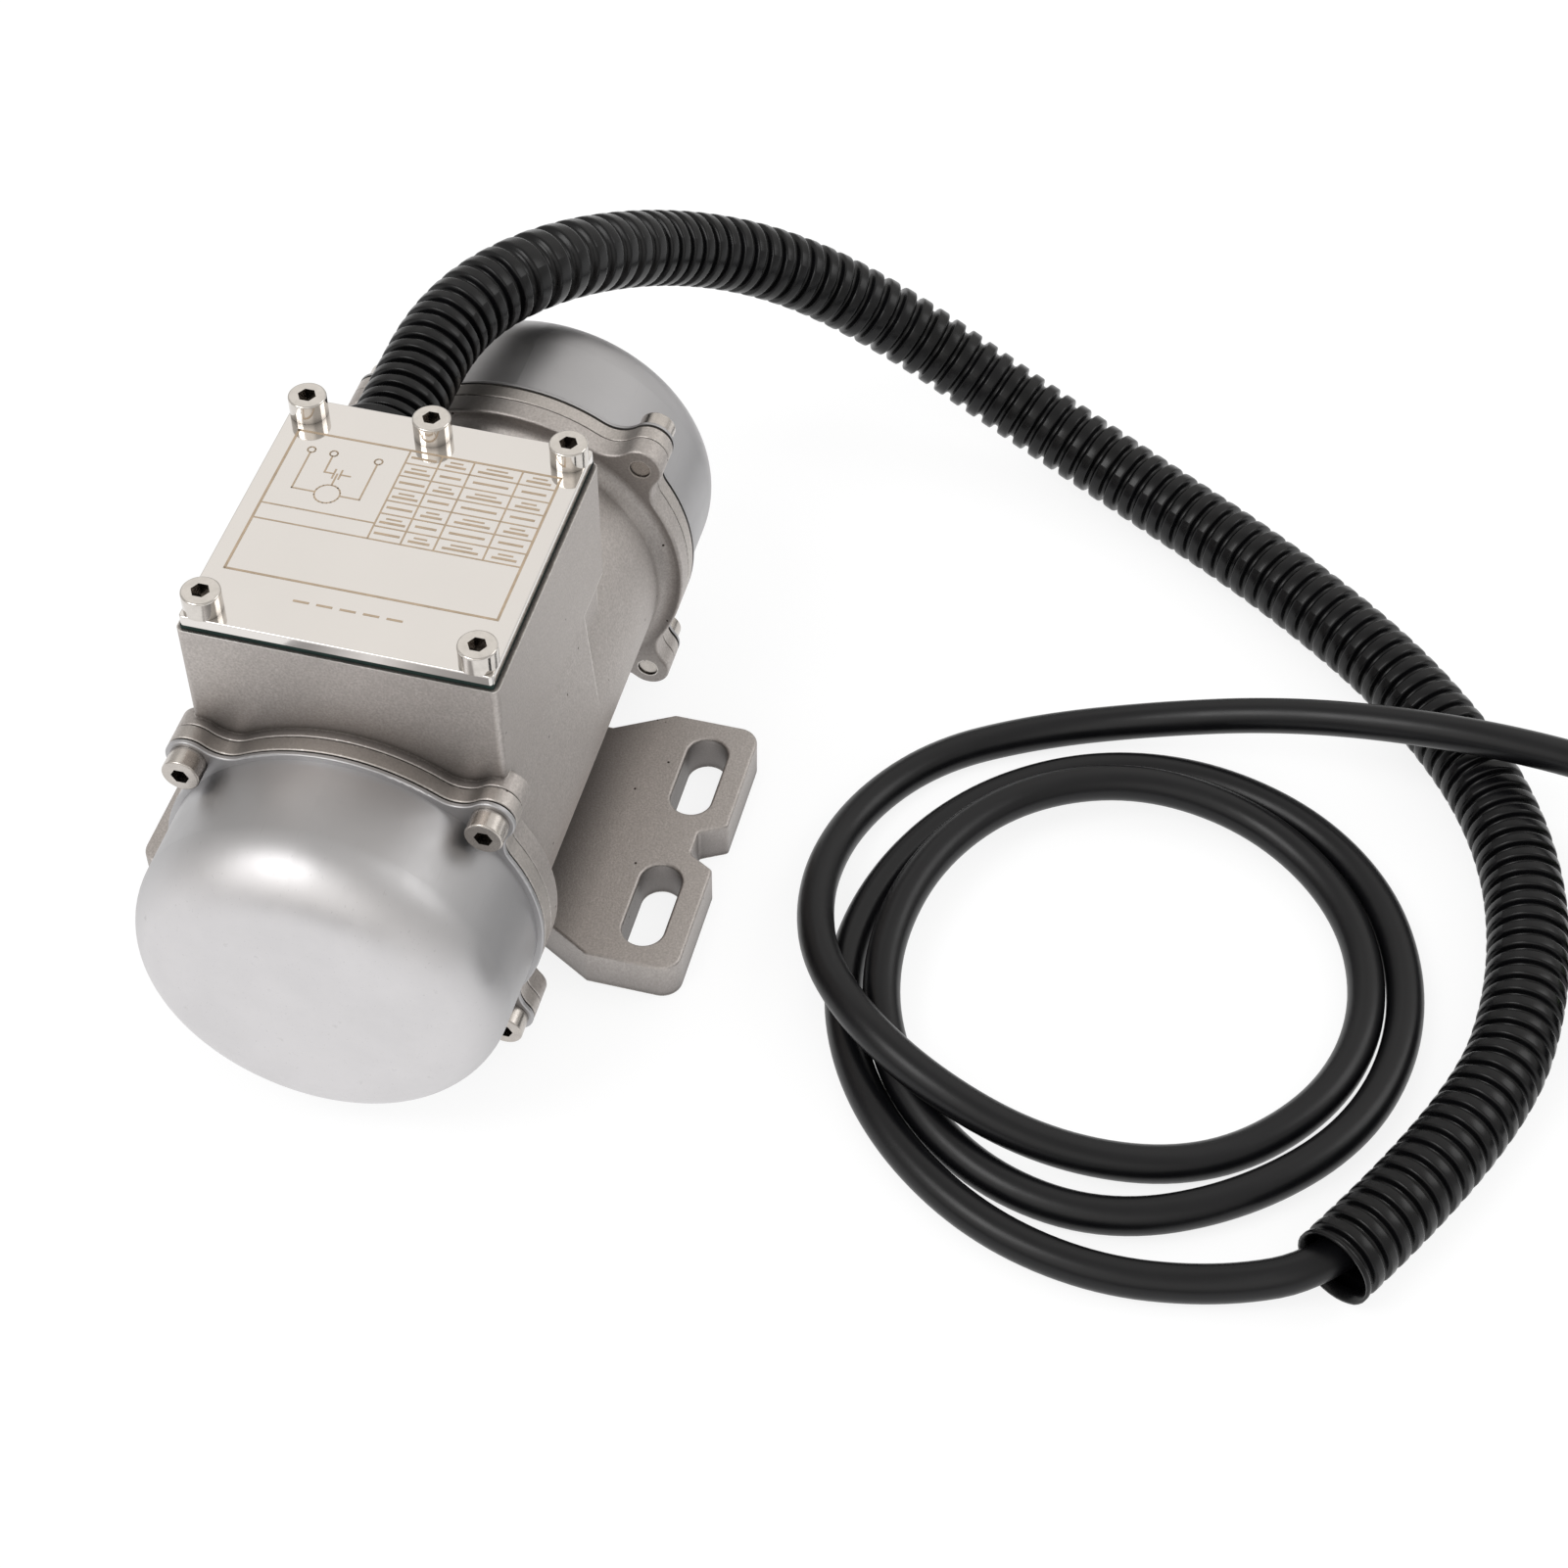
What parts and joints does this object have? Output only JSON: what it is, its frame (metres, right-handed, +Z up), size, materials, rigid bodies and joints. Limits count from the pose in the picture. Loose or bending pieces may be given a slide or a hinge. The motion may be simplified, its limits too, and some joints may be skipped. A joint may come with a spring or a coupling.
{
  "type": "vibration motor",
  "caption": "External vibration motor: cast body on slotted feet, domed weight covers on both shaft ends, terminal box with a screwed lid, corrugated conduit and supply cable",
  "frame": {"origin": "on the mounting face of the feet, under the middle of the body and of the shaft", "axes": "+X along the shaft towards the end where the conduit leaves the terminal box, +Y across the feet, +Z up"},
  "size_m": [0.2254, 0.3768, 0.099],
  "materials": {
    "cast_steel": "bead-blasted casting",
    "satin_steel": "satin deep-drawn sheet",
    "polished_steel": "mirror polished sheet",
    "screw_steel": "satin",
    "bright_steel": "ground",
    "machined_steel": "machined",
    "lamination_steel": "stacked laminations",
    "copper_winding": "enamelled copper wire",
    "cage_aluminium": "cast",
    "gasket_rubber": "matt",
    "paper_gasket": "matt",
    "black_pvc": "smooth soft plastic",
    "black_polyamide": "corrugated plastic",
    "capacitor_shell": "moulded",
    "terminal_plastic": "moulded",
    "terminal_brass": "machined",
    "lead_insulation": "insulated wire",
    "brown_insulation": "insulated wire",
    "blue_insulation": "insulated wire",
    "earth_insulation": "insulated wire, striped",
    "tinned_copper": "tinned",
    "tie_fabric": "woven strap",
    "polymer_cage": "moulded"
  },
  "bodies": {
    "stator": {"housing": "cast_steel", "front_end_shield": "cast_steel", "rear_end_shield": "cast_steel", "front_cover": "satin_steel", "rear_cover": "satin_steel", "lid": "polished_steel", "front_cover_gasket": "paper_gasket", "rear_cover_gasket": "paper_gasket", "lid_gasket": "gasket_rubber", "front_cover_screws": "screw_steel", "rear_cover_screws": "screw_steel", "lid_screws": "screw_steel", "earth_screw": "screw_steel", "cable_clamp_screws": "screw_steel", "terminal_block_screws": "screw_steel", "stator_core": "lamination_steel", "stator_windings": "copper_winding", "rear_wave_spring": "bright_steel", "capacitor": "capacitor_shell", "terminal_block": "terminal_plastic", "terminal_screws": "terminal_brass", "lead_grommet": "gasket_rubber", "cable_clamp": "terminal_plastic", "motor_leads": "lead_insulation", "capacitor_leads": "black_pvc", "supply_cores": "blue_insulation", "conduit_collar": "satin_steel", "conduit": "black_polyamide", "cable_in_conduit": "black_pvc", "cable_loops": "black_pvc", "cable_coil": "black_pvc", "core_ferrules": "tinned_copper", "free_core_brown": "brown_insulation", "free_core_blue": "blue_insulation", "free_core_earth": "earth_insulation", "coil_tie": "tie_fabric", "front_bearing_outer_ring": "bright_steel", "front_bearing_seals": "gasket_rubber", "rear_bearing_outer_ring": "bright_steel", "rear_bearing_seals": "gasket_rubber"},
    "rotor": {"shaft": "machined_steel", "rotor_core": "lamination_steel", "rotor_cage": "cage_aluminium", "front_bearing_inner_ring": "bright_steel", "front_fixed_weight": "machined_steel", "front_weight_key": "machined_steel", "front_circlip": "lamination_steel", "rear_bearing_inner_ring": "bright_steel", "rear_fixed_weight": "machined_steel", "rear_weight_key": "machined_steel", "rear_circlip": "lamination_steel"},
    "front_ball_set": {"front_bearing_balls": "bright_steel", "front_bearing_cage": "polymer_cage"},
    "front_outer_weight": {"front_adjustable_weight": "machined_steel", "front_weight_grub_screw": "screw_steel"},
    "rear_ball_set": {"rear_bearing_balls": "bright_steel", "rear_bearing_cage": "polymer_cage"},
    "rear_outer_weight": {"rear_adjustable_weight": "machined_steel", "rear_weight_grub_screw": "screw_steel"}
  },
  "joints": [
    {"name": "rotor_spin", "type": "hinge", "parent": "stator", "child": "rotor", "pos_m": [0, 0, 0.038], "axis": [1, 0, 0], "continuous": true},
    {"name": "front_ball_set_spin", "type": "hinge", "parent": "stator", "child": "front_ball_set", "pos_m": [-0.043, 0, 0.038], "axis": [1, 0, 0], "continuous": true},
    {"name": "front_weight_setting", "type": "hinge", "parent": "rotor", "child": "front_outer_weight", "pos_m": [-0.06115, 0, 0.038], "axis": [1, 0, 0], "range_deg": [0, 180]},
    {"name": "rear_ball_set_spin", "type": "hinge", "parent": "stator", "child": "rear_ball_set", "pos_m": [0.042, 0, 0.038], "axis": [1, 0, 0], "continuous": true},
    {"name": "rear_weight_setting", "type": "hinge", "parent": "rotor", "child": "rear_outer_weight", "pos_m": [0.06115, 0, 0.038], "axis": [1, 0, 0], "range_deg": [0, 180]}
  ],
  "couplings": [
    {"joint": "front_ball_set_spin", "follows": "rotor_spin", "ratio": 0.3648},
    {"joint": "rear_ball_set_spin", "follows": "rotor_spin", "ratio": 0.3648}
  ]
}
